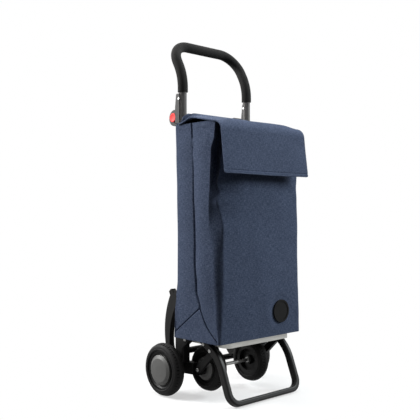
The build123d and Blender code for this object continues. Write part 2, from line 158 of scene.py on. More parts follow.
# materials
class Finish:
    def __init__(self, name):
        self.material = bpy.data.materials.new(name)
        self.material.use_nodes = True
        self.nodes = self.material.node_tree.nodes
        self.links = self.material.node_tree.links
        self.shader = self.nodes["Principled BSDF"]
        self.coords = self.nodes.new("ShaderNodeTexCoord")

    def put(self, **values):
        for name, value in values.items():
            self.shader.inputs[name.replace("_", " ")].default_value = value

    def join(self, source, target):
        self.links.new(source, target)

    def noise(self, scale, detail, roughness, vector=None):
        node = self.nodes.new("ShaderNodeTexNoise")
        node.inputs["Scale"].default_value = scale
        node.inputs["Detail"].default_value = detail
        node.inputs["Roughness"].default_value = roughness
        self.join(vector or self.coords.outputs["Object"], node.inputs["Vector"])
        return node.outputs["Fac"]

    def wave(self, scale, direction, vector, distortion):
        node = self.nodes.new("ShaderNodeTexWave")
        node.wave_type = "BANDS"
        node.bands_direction = direction
        node.inputs["Scale"].default_value = scale
        node.inputs["Distortion"].default_value = distortion
        node.inputs["Detail"].default_value = 1.0
        self.join(vector, node.inputs["Vector"])
        return node.outputs["Fac"]

    def stretch(self, source, scale):
        node = self.nodes.new("ShaderNodeMapping")
        node.inputs["Scale"].default_value = scale
        self.join(source, node.inputs["Vector"])
        return node.outputs["Vector"]

    def ramp(self, factor, stops):
        node = self.nodes.new("ShaderNodeValToRGB")
        while len(node.color_ramp.elements) < len(stops):
            node.color_ramp.elements.new(0.5)
        for element, (place, colour) in zip(node.color_ramp.elements, stops):
            element.position = place
            element.color = (*colour, 1.0)
        self.join(factor, node.inputs["Fac"])
        return node.outputs["Color"]

    def math(self, operation, first, second):
        node = self.nodes.new("ShaderNodeMath")
        node.operation = operation
        for socket, value in zip(node.inputs, (first, second)):
            if isinstance(value, (int, float)):
                socket.default_value = value
            else:
                self.join(value, socket)
        return node.outputs["Value"]

    # sum of several values, each times its share
    def weigh(self, *pairs):
        total = None
        for value, share in pairs:
            part = self.math("MULTIPLY", value, share)
            total = self.math("ADD", total, part) if total else part
        return total

    def tint(self, factor, colour, plain):
        node = self.nodes.new("ShaderNodeMix")
        node.data_type = "RGBA"
        sockets = {socket.name: socket for socket in node.inputs if socket.enabled}
        self.join(factor, sockets["Factor"])
        self.join(colour, sockets["A"])
        sockets["B"].default_value = (*plain, 1.0)
        return [socket for socket in node.outputs if socket.enabled][0]

    def bump(self, height, strength, distance):
        node = self.nodes.new("ShaderNodeBump")
        node.inputs["Strength"].default_value = strength
        node.inputs["Distance"].default_value = distance
        self.join(height, node.inputs["Height"])
        self.join(node.outputs["Normal"], self.shader.inputs["Normal"])

    def colour(self, output):
        self.join(output, self.shader.inputs["Base Color"])

    def rough(self, factor, low, high):
        node = self.nodes.new("ShaderNodeMapRange")
        node.inputs["To Min"].default_value = low
        node.inputs["To Max"].default_value = high
        self.join(factor, node.inputs["Value"])
        self.join(node.outputs["Result"], self.shader.inputs["Roughness"])

    def mixShaders(self, factor, first, second):
        node = self.nodes.new("ShaderNodeMixShader")
        self.join(factor, node.inputs["Fac"])
        self.join(first, node.inputs[1])
        self.join(second, node.inputs[2])
        return node.outputs["Shader"]


unevenScale = 18.0
toneLow, toneHigh = 0.3, 0.7


# painted, moulded or cast surface: a base tone, fine grain and slight unevenness
def grainFinish(name, dark, light, rough, grain, bump, depth, metallic=0.0, specular=0.5):
    finish = Finish(name)
    finish.put(Metallic=metallic, Specular_IOR_Level=specular)
    fine = finish.noise(grain, detail=4.0, roughness=0.6)
    broad = finish.noise(unevenScale, detail=2.0, roughness=0.5)
    tone = finish.weigh((fine, 0.5), (broad, 0.5))
    finish.colour(finish.ramp(tone, [(toneLow, dark), (toneHigh, light)]))
    finish.rough(broad, *rough)
    finish.bump(fine, bump, depth)
    return finish.material


coalBlack = dict(dark=(0.004, 0.004, 0.004), light=(0.008, 0.008, 0.008))
grainLooks = {
    "tube": dict(name="anthraciteTube", dark=(0.062, 0.059, 0.057), light=(0.085, 0.081, 0.078),
                 rough=(0.42, 0.52), grain=1500, bump=0.1, depth=0.0002, metallic=0.15, specular=0.2),
    "casting": dict(name="hingeCasting", dark=(0.028, 0.027, 0.026), light=(0.040, 0.039, 0.038),
                    rough=(0.5, 0.62), grain=900, bump=0.2, depth=0.0003, specular=0.12),
    "red": dict(name="redButton", dark=(0.66, 0.038, 0.035), light=(0.74, 0.05, 0.045),
                rough=(0.45, 0.55), grain=700, bump=0.05, depth=0.0002, specular=0.1),
    "foam": dict(name="foamSleeve", dark=(0.009, 0.009, 0.009), light=(0.020, 0.0195, 0.019),
                 rough=(0.85, 0.95), grain=1100, bump=0.7, depth=0.0008, specular=0.1),
    "black_paint": dict(coalBlack, name="blackPaint",
                        rough=(0.4, 0.52), grain=1300, bump=0.12, depth=0.0002, specular=0.14),
    "chassis": dict(coalBlack, name="mouldedChassis",
                    rough=(0.45, 0.6), grain=1000, bump=0.25, depth=0.0003, specular=0.12),
    "rim": dict(coalBlack, name="rimPlastic",
                rough=(0.4, 0.55), grain=900, bump=0.2, depth=0.0003, specular=0.14),
    "cap": dict(name="hubCapGrey", dark=(0.075, 0.075, 0.073), light=(0.105, 0.104, 0.101),
                rough=(0.42, 0.52), grain=900, bump=0.1, depth=0.0002, metallic=0.2, specular=0.25),
    "board": dict(name="baseBoard", dark=(0.02, 0.02, 0.02), light=(0.035, 0.035, 0.035),
                  rough=(0.7, 0.85), grain=800, bump=0.3, depth=0.0004),
    "badge": dict(name="plainBadge", dark=(0.006, 0.006, 0.006), light=(0.010, 0.010, 0.010),
                  rough=(0.5, 0.62), grain=900, bump=0.2, depth=0.0003, specular=0.05),
}


# brushed metal with streaks along its grain
def steelFinish(name, dark, light, streakScale, rough=(0.32, 0.5), bump=0.08, depth=0.0002):
    finish = Finish(name)
    finish.put(Metallic=1.0)
    lengthened = finish.stretch(finish.coords.outputs["Object"], streakScale)
    streak = finish.noise(1.0, detail=3.0, roughness=0.6, vector=lengthened)
    finish.colour(finish.ramp(streak, [(toneLow, dark), (toneHigh, light)]))
    finish.rough(streak, *rough)
    finish.bump(streak, bump, depth)
    return finish.material


steelLooks = {
    "bright": dict(name="brightSteel", dark=(0.20, 0.20, 0.20), light=(0.32, 0.32, 0.31),
                   streakScale=(600, 60, 60)),
    "plate": dict(name="plateSteel", dark=(0.28, 0.28, 0.27), light=(0.40, 0.40, 0.38),
                  streakScale=(30, 500, 500)),
}
tyreLook = dict(
    dark=(0.006, 0.006, 0.006), light=(0.011, 0.0105, 0.0105), stops=(0.35, 0.7), rough=(0.55, 0.75),
    dustScale=34.0, grain=900.0, bump=0.25, depth=0.0003, specular=0.12,
)


def tyreFinish(name, look):
    finish = Finish(name)
    finish.put(Specular_IOR_Level=look["specular"])
    fine = finish.noise(look["grain"], detail=3.0, roughness=0.6)
    dust = finish.noise(look["dustScale"], detail=4.0, roughness=0.6)
    finish.colour(finish.ramp(dust, list(zip(look["stops"], (look["dark"], look["light"])))))
    finish.rough(dust, *look["rough"])
    finish.bump(fine, look["bump"], look["depth"])
    return finish.material


clothLook = dict(
    deep=(0.023, 0.033, 0.060), mid=(0.045, 0.060, 0.100), pale=(0.081, 0.100, 0.153), stops=(0.41, 0.5, 0.59),
    threadPitch=0.0012, threadWaver=0.6, threadShade=0.25, slubWidth=0.0017, slubLength=0.010, slubShare=0.35,
    fleckScale=650.0, fleckShare=0.25, cloudScale=26.0, cloudShare=0.05,
    bump=0.5, depth=0.0006, yarnRelief=0.7, rough=0.95, specular=0.06, sheen=0.03, sheenRough=0.5,
)
webbingLook = dict(
    clothLook, deep=(0.01, 0.01, 0.012), mid=(0.02, 0.02, 0.022), pale=(0.035, 0.035, 0.038), threadPitch=0.0016,
)
# at scale 1 the wave texture repeats after this length
bandLength = math.tau / 20


# heathered plain weave: warp and weft threads with long slubs of lighter and darker yarn
def clothFinish(name, look):
    finish = Finish(name)
    finish.put(Roughness=look["rough"], Specular_IOR_Level=look["specular"])
    finish.put(Sheen_Weight=look["sheen"], Sheen_Roughness=look["sheenRough"])
    uv = finish.coords.outputs["UV"]
    turns = bandLength / look["threadPitch"]
    warp = finish.wave(turns, "X", uv, look["threadWaver"])
    weft = finish.wave(turns, "Y", uv, look["threadWaver"])
    weave = finish.math("MULTIPLY", warp, weft)
    long, thin = 1 / look["slubLength"], 1 / look["slubWidth"]
    slubU = finish.noise(1.0, detail=3.0, roughness=0.6, vector=finish.stretch(uv, (long, thin, 1)))
    slubV = finish.noise(1.0, detail=3.0, roughness=0.6, vector=finish.stretch(uv, (thin, long, 1)))
    fleck = finish.noise(look["fleckScale"], detail=3.0, roughness=0.7)
    cloudy = finish.noise(look["cloudScale"], detail=3.0, roughness=0.6)
    heather = finish.weigh((slubU, look["slubShare"]), (slubV, look["slubShare"]),
                           (fleck, look["fleckShare"]), (cloudy, look["cloudShare"]))
    tones = [look[tone] for tone in ("deep", "mid", "pale")]
    colour = finish.ramp(heather, list(zip(look["stops"], tones)))
    finish.colour(finish.tint(finish.math("MULTIPLY", weave, look["threadShade"]), colour, look["deep"]))
    height = finish.math("ADD", weave, finish.math("MULTIPLY", heather, look["yarnRelief"]))
    finish.bump(height, look["bump"], look["depth"])
    return finish.material


finishes = {slot: grainFinish(**look) for slot, look in grainLooks.items()}
finishes.update({slot: steelFinish(**look) for slot, look in steelLooks.items()})
finishes["tyre"] = tyreFinish("tyreRubber", tyreLook)
finishes["cloth"] = clothFinish("heatherCloth", clothLook)
finishes["webbing"] = clothFinish("webbingCloth", webbingLook)
for part in frame["record"]["subparts"]:
    dress(frame["nodes"][part["node"]], finishes[part["material_slot"]])
print("finishes set:", len(finishes))

# bag
bagLow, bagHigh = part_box("bag_body")
badgeLow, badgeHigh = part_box("badge_disc")
bagShape = dict(
    bottom=bagLow.z, sideTop=0.783, backTop=bagHigh.z, wall=0.003,
    halfLow=bagHigh.x, halfHigh=0.166, frontLow=bagLow.y, frontHigh=-0.118, back=bagHigh.y,
    # the back's middle rises above the sides at the mouth
    backHalf=0.150, backEase=(0.006, 0.010), liftFrom=0.86,
    # the rear corners stand out to the sides and reach back past the uprights
    backFlat=0.150, backCorner=0.005,
    rearWide=[(0.173, 0.004), (0.245, 0.003), (0.291, 0.001), (0.337, 0.0), (0.45, 0.0), (0.59, 0.001),
              (0.70, 0.002), (0.783, 0.003)],
    rearLobe=[(0.173, 0.013), (0.245, 0.011), (0.291, 0.0085), (0.337, 0.0045), (0.45, 0.0045), (0.59, 0.007),
              (0.70, 0.010), (0.783, 0.012)],
    # right front corner by height
    rightWide=[(0.40, 0.0), (0.52, 0.004), (0.62, 0.006)], rightRadius=0.007,
    rightEase=dict(height=0.603, spread=0.02, size=0.004),
    # left front corner by height: end of the side panel, start of the front panel, how far that start lies back,
    # how round the turn is and how deep it is tucked in
    leftEdge=[(0.173, -0.126), (0.23, -0.113), (0.35, -0.104), (0.50, -0.089), (0.63, -0.092), (0.70, -0.095),
              (0.745, -0.110), (0.783, -0.1145)],
    leftStart=[(0.173, 0.164), (0.23, 0.158), (0.35, 0.150), (0.50, 0.149), (0.56, 0.153), (0.60, 0.153),
               (0.66, 0.138), (0.783, 0.136)],
    leftBack=[(0.48, 0.0), (0.56, 0.015), (0.65, 0.015), (0.72, 0.009), (0.783, 0.001)],
    leftSoft=[(0.40, 1.0), (0.54, 0.0)],
    leftTuck=[(0.575, 0.002), (0.64, 0.040), (0.70, 0.062), (0.783, 0.066)],
    leftPinches=[dict(height=0.59, spread=0.018, size=0.006), dict(height=0.56, spread=0.013, size=-0.005)],
    roundShare=0.62, frontBlend=0.09,
    # fold down the middle of each side
    crease=[(0.2655, -0.0546), (0.3156, -0.0422), (0.3987, -0.0351), (0.6223, -0.0254), (0.7461, -0.0199)],
    creaseDepth=[(0.2655, 0.006), (0.33, 0.008), (0.45, 0.007), (0.56, 0.0038), (0.655, 0.002), (0.695, 0.0006),
                 (0.738, 0.0008), (0.748, 0.016), (0.783, 0.020)],
    creaseRear=[(0.2655, 0.008), (0.60, 0.006), (0.735, 0.004), (0.748, 0.003)], creaseFront=0.0026,
    creaseWave=0.0016, waveRate=15.0, waveSeed=(0.4, 2.1),
    puckerFoot=0.714, puckerReach=0.016, puckerDepth=0.003, puckerSlope=0.9, puckerWidth=0.004,
    # the two folds that run from the crease's foot to the bottom corners, and a faint one above the rear fold
    forkHeight=0.2655, rearArm=0.188, frontArm=0.178, armSag=0.0076, armDepth=0.005, armProud=0.002,
    armRows=4, foldRows=2, cornerFade=0.12,
    slantTop=0.345, slantDepth=0.0016, slantWidth=0.007, slantFade=0.3,
    # swell of the panels and unevenness of the cloth
    sideBulge=0.003, bulgeFull=0.3455, flattenFrom=0.70, flatten=0.6, frontSag=0.003, sagFull=0.3,
    broadSwell=0.0024, broadRate=9, broadRise=6, broadSlant=3, fineSwell=0.0007, fineRate=26, fineSeed=(3, 0, 1),
    hemHeight=0.016, hemProud=0.0007,
    # flat ground for the round plate
    badgeX=(badgeLow.x + badgeHigh.x) / 2, badgeZ=(badgeLow.z + badgeHigh.z) / 2,
    badgeR=(badgeHigh.x - badgeLow.x) / 2, badgeMargin=0.003, badgeEase=0.025,
    columns=dict(back=8, lobe=5, backArc=4, sideRear=30, sideFront=34, corner=14, front=24), foldPull=1.7,
    rowsLow=26, lowPull=1.6, rowsHigh=120, highPull=(0.4, 1.7, -1.1),
    clothHeight=0.42, rowSlack=0.00001, bottomInset=0.012, smoothAngle=60,
)


# how far forward the side's fold lies at one height
def creaseAt(height, shape):
    waver = noise.noise(Vector((*shape["waveSeed"], height * shape["waveRate"])))
    return along(shape["crease"], height) + shape["creaseWave"] * waver


# total of some humps at one height
def humpsAt(height, humps):
    return sum(one["size"] * hump(height, one["height"], one["spread"]) for one in humps)


# where the side panel ends and the front panel starts at one height, and how round the turn between them is
def bagCorner(height, sign, front, half, shape):
    if sign > 0:
        turn = shape["rightRadius"] + humpsAt(height, [shape["rightEase"]])
        half += along(shape["rightWide"], height)
        return (half, front + turn), (half - turn, front), 1.0
    startX = along(shape["leftStart"], height) - humpsAt(height, shape["leftPinches"])
    start = (startX, front + along(shape["leftBack"], height))
    return (half, along(shape["leftEdge"], height)), start, along(shape["leftSoft"], height)


# half of the back panel, the lobe behind the upright and the rear corner
def backPoints(wide, back, shape):
    counts = shape["columns"]
    radius = shape["backCorner"]
    points = []
    for step in range(counts["back"]):
        points.append(((shape["backFlat"] * step / counts["back"], shape["back"]), (0, 1), "back", 0.0))
    for step in range(counts["lobe"]):
        share = step / counts["lobe"]
        x = blendValue(shape["backFlat"], wide - radius, share)
        points.append(((x, blendValue(shape["back"], back, smooth(0, 1, share))), (0, 1), "lobe", share))
    for step in range(counts["backArc"]):
        angle = math.radians(90 - 90 * step / counts["backArc"])
        way = (math.cos(angle), math.sin(angle))
        spot = (wide - radius + radius * way[0], back - radius + radius * way[1])
        points.append((spot, way, "backArc", 0.0))
    return points


# the side panel behind and in front of its fold, with columns that close up towards the fold
def sidePoints(half, wide, rear, fold, edge, shape):
    counts = shape["columns"]
    points = []
    for step in range(counts["sideRear"]):
        share = 1 - (1 - step / counts["sideRear"]) ** shape["foldPull"]
        spot = (blendValue(half, wide, (1 - share) ** 2), blendValue(rear, fold, share))
        points.append((spot, (1, 0), "sideRear", share))
    for step in range(counts["sideFront"]):
        share = (step / counts["sideFront"]) ** shape["foldPull"]
        spot = (blendValue(half, edge[0], share), blendValue(fold, edge[1], share))
        points.append((spot, (1, 0), "sideFront", share))
    return points


# the turn from the side panel to the front panel, round or tucked in, and half of the front panel
def frontPoints(height, front, edge, start, soft, shape):
    counts = shape["columns"]
    tuck = along(shape["leftTuck"], height)
    tucked = (blendValue(edge[0], start[0], 0.5) - tuck, blendValue(edge[1], start[1], 0.5) + tuck)
    rounded = (edge[0], blendValue(edge[1], start[1], shape["roundShare"]))
    middle = [blendValue(a, b, soft) for a, b in zip(tucked, rounded)]
    points = []
    for step in range(counts["corner"]):
        s = step / counts["corner"]
        spot = [(1 - s) ** 2 * a + 2 * s * (1 - s) * b + s * s * c for a, b, c in zip(edge, middle, start)]
        points.append((spot, (1 - s, -s), "corner", s))
    for step in range(counts["front"] + 1):
        share = step / counts["front"]
        x = start[0] * (1 - share)
        fade = max(0.0, 1 - (start[0] - x) / shape["frontBlend"])
        points.append(((x, front + (start[1] - front) * fade * fade), (0, -1), "front", share))
    return points


# the bag's half outline at one height, from the middle of the back round to the middle of the front;
# each point has its place, its outward way, its panel and its share of that panel
def bagOutline(height, sign, shape):
    t = (height - shape["bottom"]) / (shape["sideTop"] - shape["bottom"])
    half = blendValue(shape["halfLow"], shape["halfHigh"], t)
    front = blendValue(shape["frontLow"], shape["frontHigh"], t)
    wide = half + along(shape["rearWide"], height)
    back = shape["back"] + along(shape["rearLobe"], height)
    rear = back - shape["backCorner"]
    edge, start, soft = bagCorner(height, sign, front, half, shape)
    points = backPoints(wide, back, shape)
    points += sidePoints(half, wide, rear, creaseAt(height, shape), edge, shape)
    return points + frontPoints(height, front, edge, start, soft, shape)


# height of the fold line from the crease's foot to a bottom corner
def armHeight(kind, share, shape):
    if kind == "sideRear":
        return blendValue(shape["rearArm"], shape["forkHeight"], share)
    if kind == "sideFront":
        sag = shape["armSag"] * 4 * share * (1 - share)
        return blendValue(shape["forkHeight"], shape["frontArm"], share) - sag
    return shape["rearArm"] if kind in ("back", "lobe", "backArc") else shape["frontArm"]


# the fold down the side, the tucks at its two ends and the panel that lies over the bottom
def sideFolds(y, height, kind, share, row, shape):
    gap = y - creaseAt(height, shape)
    out = 0.0
    if height > shape["forkHeight"]:
        depth = along(shape["creaseDepth"], height)
        if gap >= 0:
            out -= depth * max(0.0, 1 - gap / along(shape["creaseRear"], height)) ** 2
        else:
            out -= depth * max(0.0, 1 + gap / shape["creaseFront"])
        for lean in (-1, 1):
            reach = lean * gap / shape["puckerReach"]
            line = shape["puckerFoot"] + lean * gap * shape["puckerSlope"]
            if 0 <= reach < 1:
                out -= shape["puckerDepth"] * hump(height, line, shape["puckerWidth"]) * (1 - reach)
    if kind == "sideRear":
        slant = blendValue(shape["slantTop"], shape["forkHeight"], share)
        fade = smooth(0.0, shape["slantFade"], share)
        out -= shape["slantDepth"] * hump(height, slant, shape["slantWidth"]) * fade
    offCorner = smooth(0.0, shape["cornerFade"], share if kind == "sideRear" else 1 - share)
    above = row - shape["rowsLow"]
    if above < 0:
        out += shape["armProud"] * offCorner * smooth(0, shape["armRows"], -above)
    if abs(above) < shape["foldRows"]:
        out -= shape["armDepth"] * offCorner * (1 - abs(above) / shape["foldRows"])
    return out


# how far the cloth stands out of the plain form at a place
def bagSwell(spot, kind, share, height, row, sign, shape):
    x, y = spot
    if kind in ("back", "lobe", "backArc"):
        return 0.0
    out = 0.0
    if kind in ("sideRear", "sideFront"):
        low = smooth(shape["bottom"], shape["bulgeFull"], height)
        high = 1 - shape["flatten"] * smooth(shape["flattenFrom"], shape["sideTop"], height)
        out += shape["sideBulge"] * math.sin(math.pi * share) * low * high
        out += sideFolds(y, height, kind, share, row, shape)
    if kind == "front":
        sag = math.sin(math.pi * share / 2) * smooth(shape["bottom"], shape["sagFull"], height)
        out += shape["frontSag"] * sag
    place = Vector((sign * x, y, height))
    rate = shape["broadRate"]
    slanted = place.x * rate + place.z * shape["broadSlant"]
    broad = noise.noise(Vector((slanted, place.y * rate, place.z * shape["broadRise"])))
    fine = noise.noise(place * shape["fineRate"] + Vector(shape["fineSeed"]))
    out += shape["broadSwell"] * broad + shape["fineSwell"] * fine
    if height > shape["sideTop"] - shape["hemHeight"]:
        out += shape["hemProud"]
    if kind == "front":
        away = math.hypot(place.x - shape["badgeX"], height - shape["badgeZ"])
        flat = shape["badgeR"] + shape["badgeMargin"]
        out *= smooth(flat, flat + shape["badgeEase"], away)
    return out


def makeBag(shape):
    halfCount = sum(shape["columns"].values())
    columns = halfCount * 2
    rows = shape["rowsLow"] + shape["rowsHigh"]
    plain = bagOutline(shape["bottom"], 1, shape)
    spread = bagOutline(shape["clothHeight"], -1, shape)

    # rows close up towards the folds and the mouth
    def heightAt(row, index):
        kind, share = plain[index][2:]
        arm = armHeight(kind, share, shape)
        if row <= shape["rowsLow"]:
            return blendValue(shape["bottom"], arm, 1 - (1 - row / shape["rowsLow"]) ** shape["lowPull"])
        v = (row - shape["rowsLow"]) / shape["rowsHigh"]
        first, second, third = shape["highPull"]
        return blendValue(arm, shape["sideTop"], first * v + second * v ** 2 + third * v ** 3)

    def place(u, v):
        column = round(u * columns)
        sign = 1 if column <= halfCount else -1
        index = min(column, columns - column)
        row = round(v * rows)
        height = heightAt(row, index)
        spot, way, kind, share = bagOutline(height, sign, shape)[index]
        swell = bagSwell(spot, kind, share, height, row, sign, shape)
        x = sign * (spot[0] + way[0] * swell)
        y = spot[1] + way[1] * swell
        rise = 0.0
        if kind in ("back", "lobe"):
            inner, outer = shape["backEase"]
            rise = 1 - smooth(shape["backHalf"] - inner, shape["backHalf"] + outer, abs(x))
        lift = (shape["backTop"] - shape["sideTop"]) * rise * smooth(shape["liftFrom"], 1.0, v)
        return (x, y, height + lift)

    # length round the bag up to each column
    run = [0.0]
    for (spotA, *_), (spotB, *_) in zip(spread, spread[1:]):
        run.append(run[-1] + math.dist(spotA, spotB))

    def cloth(u, v):
        column = round(u * columns)
        index = min(column, columns - column)
        around = run[index] if column <= halfCount else 2 * run[-1] - run[index]
        return (around, heightAt(round(v * rows), index))

    bag = layGrid("bagBody", columns, rows, place, cloth)
    weld(bag)
    # close the bottom across the lowest row
    lowest = shape["bottom"] + shape["rowSlack"]
    selectWhere(bag, "EDGE", lambda edge: all(bag.data.vertices[i].co.z < lowest for i in edge.vertices))
    bpy.ops.mesh.edge_face_add()
    bpy.ops.mesh.inset(thickness=shape["bottomInset"])
    turnOut(bag)
    thicken(bag, shape["wall"], -1.0)
    smoothFaces(bag, shape["smoothAngle"])
    return bag


bagBody = makeBag(bagShape)
dress(bagBody, finishes["cloth"])
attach(bagBody, "frame")
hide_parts("bag_body")
print("bag made:", len(bagBody.data.polygons), "faces")

# flap
flapShape = dict(
    hingeY=hinges["flap_open"][1], hingeZ=hinges["flap_open"][2], seamRun=0.040,
    bendY=-0.141, bendZ=0.786, bendR=0.040, hemY=-0.157, hemZ=0.637,
    half=0.174, thick=0.003, cornerR=0.004,
    edgeDroop=0.010, droopFrom=0.105, droopFade=(0.15, 0.21), rearDroop=0.026, rearRun=0.07, rightShare=0.68,
    sag=0.003, sagRun=0.16, sagPower=4, ripple=0.0018, rippleRate=(8, 9), rippleSeed=4.0, rippleFull=0.03,
    wave=0.0025, waveFrom=0.7, waveTurn=7.0, waveShift=0.6,
    hemBand=0.0095, groove=0.0011, grooveWidth=0.0011,
    columns=76, rows=110, hemRows=0.18, hemFine=0.02, smoothAngle=60,
    stitchLength=0.0034, stitchPitch=0.0047, stitchR=0.00055, stitchSides=6, stitchRound=0.6, stitchLift=0.2,
    stitchMargin=0.008, stitchSmooth=40,
)


# points along the flap from its seam over the bend to the hem
def flapLine(shape, count):
    seam = Vector((shape["hingeY"], shape["hingeZ"]))
    bend = Vector((shape["bendY"], shape["bendZ"]))
    hem = Vector((shape["hemY"], shape["hemZ"]))
    radius = shape["bendR"]
    wayIn = (bend - seam).normalized()
    wayOut = (hem - bend).normalized()
    turn = wayIn.angle(wayOut)
    cut = radius * math.tan(turn / 2)
    arcStart = bend - wayIn * cut
    side = Vector((wayIn.y, -wayIn.x))
    if side.dot(wayOut) < 0:
        side = -side
    centre = arcStart + side * radius
    runA = (arcStart - seam).length
    runB = radius * turn
    runC = (hem - bend).length - cut
    whole = runA + runB + runC
    points = []
    for step in range(count + 1):
        gone = whole * step / count
        if gone < runA:
            points.append(seam + wayIn * gone)
        elif gone < runA + runB:
            angle = (gone - runA) / radius
            points.append(centre - side * radius * math.cos(angle) + wayIn * radius * math.sin(angle))
        else:
            points.append(bend + wayOut * (cut + gone - runA - runB))
    return points, whole


# distance along the flap for a row, with finer rows at the hem
def flapGone(v, shape, whole):
    coarse = 1 - shape["hemRows"]
    if v < coarse:
        return v / coarse * (whole - shape["hemFine"])
    return whole - shape["hemFine"] * (1 - v) / shape["hemRows"]


# the side edges hang lower than the middle, most at the seam
def flapDroop(x, gone, shape):
    edge = smooth(shape["droopFrom"], shape["half"], abs(x))
    hang = shape["edgeDroop"] * (1 - smooth(*shape["droopFade"], gone))
    hang += shape["rearDroop"] * (1 - smooth(0.0, shape["rearRun"], gone))
    return hang * edge * (shape["rightShare"] if x > 0 else 1.0)


# how far the cloth stands off its plain line: sag on top, ripples, a wavy hem and the groove of its seam
def flapSwell(u, x, gone, whole, shape):
    middle = 1 - abs(u * 2 - 1) ** shape["sagPower"]
    swell = -shape["sag"] * math.sin(math.pi * min(1.0, gone / shape["sagRun"])) * middle
    rateX, rateRun = shape["rippleRate"]
    ripple = noise.noise(Vector((x * rateX, gone * rateRun, shape["rippleSeed"])))
    swell += shape["ripple"] * ripple * smooth(0.0, shape["rippleFull"], gone)
    wave = math.sin(u * shape["waveTurn"] + shape["waveShift"])
    swell += shape["wave"] * smooth(whole * shape["waveFrom"], whole, gone) * wave
    return swell - shape["groove"] * hump(whole - gone, shape["hemBand"], shape["grooveWidth"])


def flapSpot(u, v, shape, line, whole):
    gone = flapGone(v, shape, whole)
    place = min(1.0, gone / whole) * (len(line) - 1)
    index = min(int(place), len(line) - 2)
    middle = line[index].lerp(line[index + 1], place - index)
    way = (line[index + 1] - line[index]).normalized()
    outward = Vector((-way.y, way.x))
    if outward.dot(Vector((-1, 1))) < 0:
        outward = -outward
    x = (u * 2 - 1) * shape["half"]
    middle = middle + outward * flapSwell(u, x, gone, whole, shape)
    middle.y -= flapDroop(x, gone, shape)
    # round the two lower corners
    inset = 0.0
    short = shape["cornerR"] - (whole - gone)
    if short > 0:
        inset = shape["cornerR"] - math.sqrt(shape["cornerR"] ** 2 - short ** 2)
    return ((u * 2 - 1) * (shape["half"] - inset), middle.x, middle.y)


def makeFlap(shape):
    line, whole = flapLine(shape, shape["rows"] * 2)
    flap = layGrid("bagFlap", shape["columns"], shape["rows"],
                   lambda u, v: flapSpot(u, v, shape, line, whole),
                   lambda u, v: (u * shape["half"] * 2, flapGone(v, shape, whole)))
    turnOut(flap)
    thicken(flap, shape["thick"], 0.0)
    smoothFaces(flap, shape["smoothAngle"])
    return flap, line, whole


flap, flapPoints, flapLength = makeFlap(flapShape)
dress(flap, finishes["cloth"])
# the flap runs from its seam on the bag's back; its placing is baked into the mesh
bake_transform(flap)
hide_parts("bag_flap")


# where each stitch lies and the way it points
def flapStitchSpots(shape, line, whole):
    spots = []
    v = 1 - shape["hemBand"] / shape["hemFine"] * shape["hemRows"]
    count = int((shape["half"] - shape["stitchMargin"]) * 2 / shape["stitchPitch"])
    stepU, stepV = 0.002, 0.005
    for index in range(count):
        u = 0.5 + (index - (count - 1) / 2) * shape["stitchPitch"] / (shape["half"] * 2)
        here = Vector(flapSpot(u, v, shape, line, whole))
        ahead = Vector(flapSpot(u + stepU, v, shape, line, whole))
        down = Vector(flapSpot(u, v + stepV, shape, line, whole))
        way = (ahead - here).normalized()
        outward = way.cross(down - here).normalized()
        if outward.y > 0:
            outward = -outward
        spots.append((here + outward * (shape["thick"] / 2 + shape["stitchR"] * shape["stitchLift"]), way))
    return spots


def makeStitches(name, spots, shape):
    deselectAll()
    bpy.ops.mesh.primitive_cylinder_add(vertices=shape["stitchSides"], radius=shape["stitchR"],
                                        depth=shape["stitchLength"], location=(0, 0, 0))
    seed = bpy.context.object
    editWhole(seed)
    bpy.ops.mesh.bevel(offset=shape["stitchR"] * shape["stitchRound"], segments=1, affect="EDGES")
    bpy.ops.object.mode_set(mode="OBJECT")
    copies = []
    for spot, way in spots:
        twin = seed.copy()
        twin.data = seed.data.copy()
        bpy.context.scene.collection.objects.link(twin)
        turn = Vector((0, 0, 1)).rotation_difference(way).to_matrix().to_4x4()
        turn.translation = spot
        twin.data.transform(turn)
        copies.append(twin)
    bpy.data.objects.remove(seed)
    deselectAll()
    for twin in copies:
        twin.select_set(True)
    bpy.context.view_layer.objects.active = copies[0]
    bpy.ops.object.join()
    row = bpy.context.object
    row.name = name
    smoothFaces(row, shape["stitchSmooth"])
    return row


threadLook = dict(dark=(0.02, 0.028, 0.05), light=(0.04, 0.05, 0.08), rough=(0.7, 0.85), grain=2000, bump=0.3,
                  depth=0.0002)
stitchSpots = flapStitchSpots(flapShape, flapPoints, flapLength)
flapStitches = makeStitches("flapHemStitches", stitchSpots, flapShape)
dress(flapStitches, grainFinish("sewingThread", **threadLook))
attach(flapStitches, "flap")
print("flap made:", round(flapLength, 3), "m long")

# webbing loops round the top crossbar
barLow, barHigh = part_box("top_crossbar")
loopShape = dict(
    xs=(-0.062, 0.062), width=0.030, thick=0.0016, columns=8, rows=60, cut=0.12, smoothAngle=60,
    barY=(barLow.y + barHigh.y) / 2, barZ=(barLow.z + barHigh.z) / 2, barR=(barHigh.z - barLow.z) / 2,
    barGap=0.0003, arcFrom=215, arcTurn=290, arcSteps=36,
    # the tab sewn to the bag's back: thicknesses off the bag and drop below the bar
    bagY=bagHigh.y, bagGap=0.0008, tab=[(1.0, 0.006), (0.5, 0.014), (0.5, 0.045)],
)


